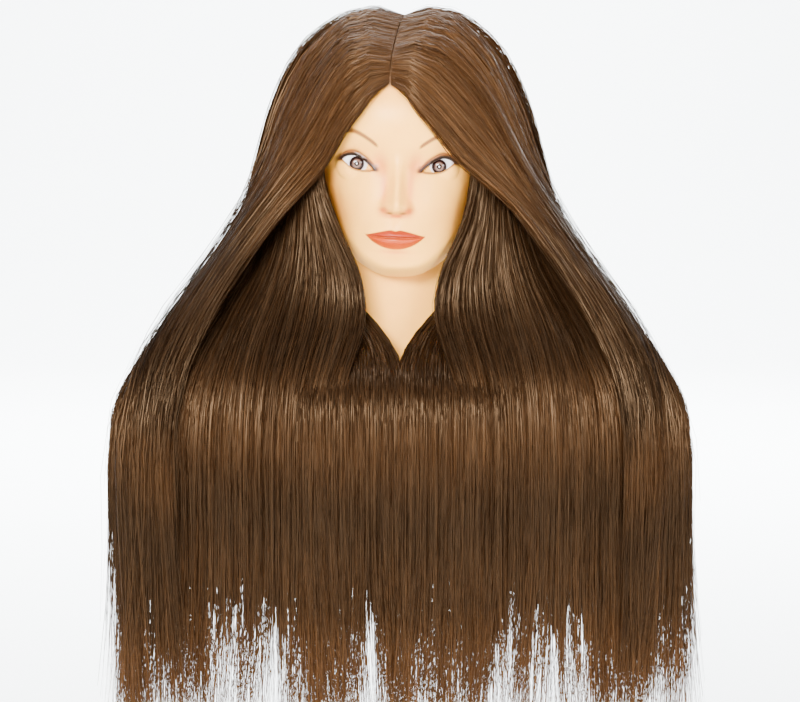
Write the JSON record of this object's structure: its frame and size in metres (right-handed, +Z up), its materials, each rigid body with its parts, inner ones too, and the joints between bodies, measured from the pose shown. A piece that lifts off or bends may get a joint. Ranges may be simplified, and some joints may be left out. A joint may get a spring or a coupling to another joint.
{
  "type": "mannequin training head",
  "caption": "Life-size female practice head on a neck with a socket for a clamp peg, its long straight centre-parted hair combed forward over a table's edge.",
  "frame": {"origin": "centre of the neck socket's mouth, on the flat underside of the neck, which is the level of the table top", "axes": "+Z up out of the neck to the crown, -Y the way the face looks, +X to the head's own left"},
  "size_m": [0.4614, 0.2396, 0.63],
  "materials": {
    "vinyl_skin": "soft satin vinyl",
    "foam": "rigid foam",
    "socket_plastic": "satin",
    "base_board": "bare board",
    "screw_steel": "zinc plated",
    "eye_gloss": "gloss",
    "lash_fibre": "satin fibre",
    "hair_fibre": "smooth glossy fibre"
  },
  "bodies": {
    "root": {"head_skin": "vinyl_skin", "foam_core": "foam", "socket_tube": "socket_plastic", "base_plate": "base_board", "base_screws": "screw_steel", "eye_left": "eye_gloss", "eye_right": "eye_gloss", "lashes_left": "lash_fibre", "lashes_right": "lash_fibre", "hair_top_left": "hair_fibre", "hair_top_right": "hair_fibre", "hair_side_left": "hair_fibre", "hair_side_right": "hair_fibre", "hair_nape_left": "hair_fibre", "hair_nape_right": "hair_fibre", "hair_back_left": "hair_fibre", "hair_back_right": "hair_fibre"}
  },
  "joints": []
}
